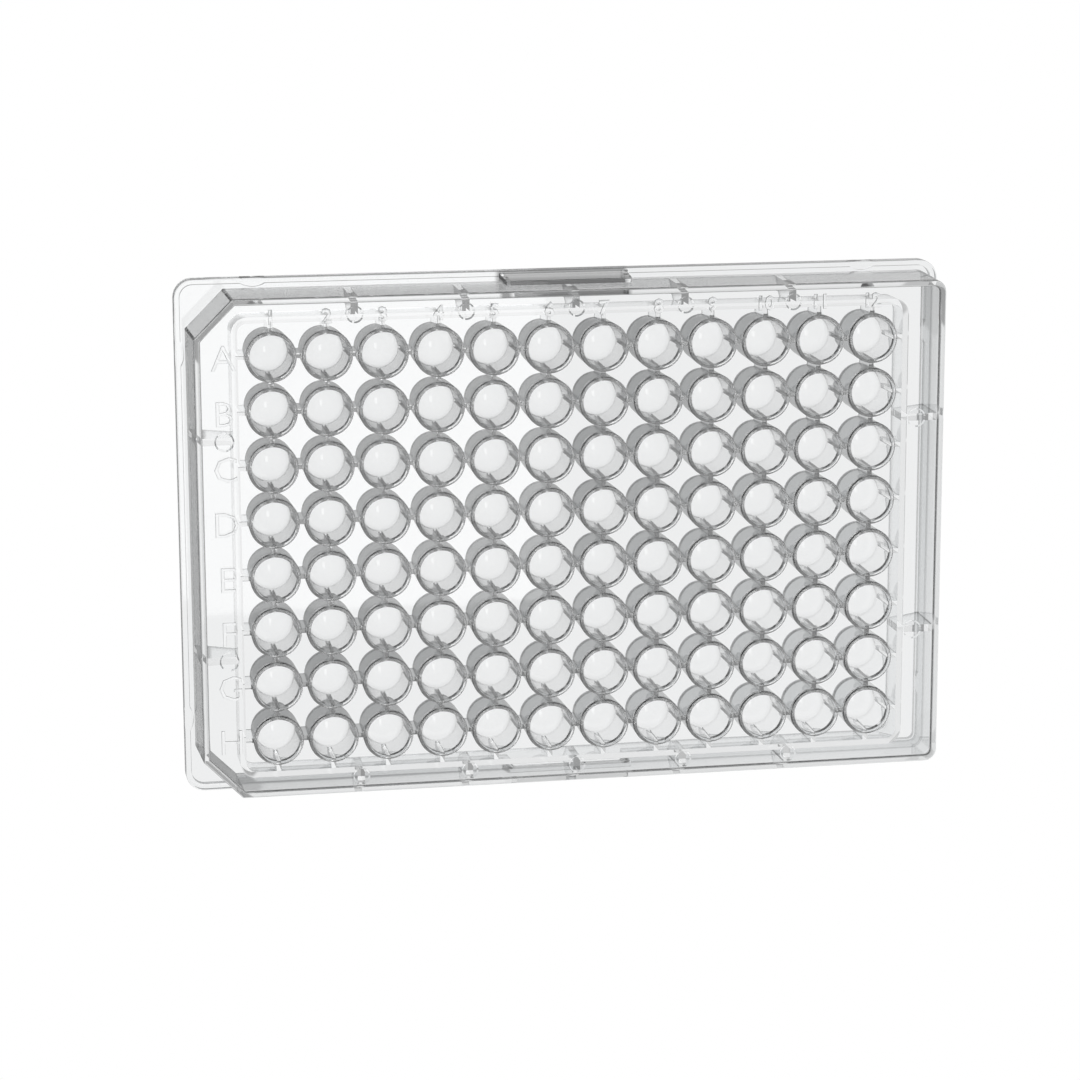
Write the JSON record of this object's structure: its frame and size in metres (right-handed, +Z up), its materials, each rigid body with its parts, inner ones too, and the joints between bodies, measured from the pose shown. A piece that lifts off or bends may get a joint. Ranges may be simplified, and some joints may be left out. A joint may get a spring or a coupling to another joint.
{
  "type": "well plate",
  "caption": "Clear round-bottom microplate: a low rectangular tray of open round wells in a regular grid, with a flanged base, a raised lip and two cut corners.",
  "frame": {"origin": "centre of the footprint, on the plane that the flange rests on", "axes": "+X along the rows of wells from column 1 to column 12, +Y towards row A, +Z up out of the wells"},
  "size_m": [0.1278, 0.0854, 0.0143],
  "materials": {
    "clear_polystyrene": "clear, colourless, moulded smooth and glossy"
  },
  "bodies": {
    "root": {"well_plate": "clear_polystyrene"}
  },
  "joints": []
}
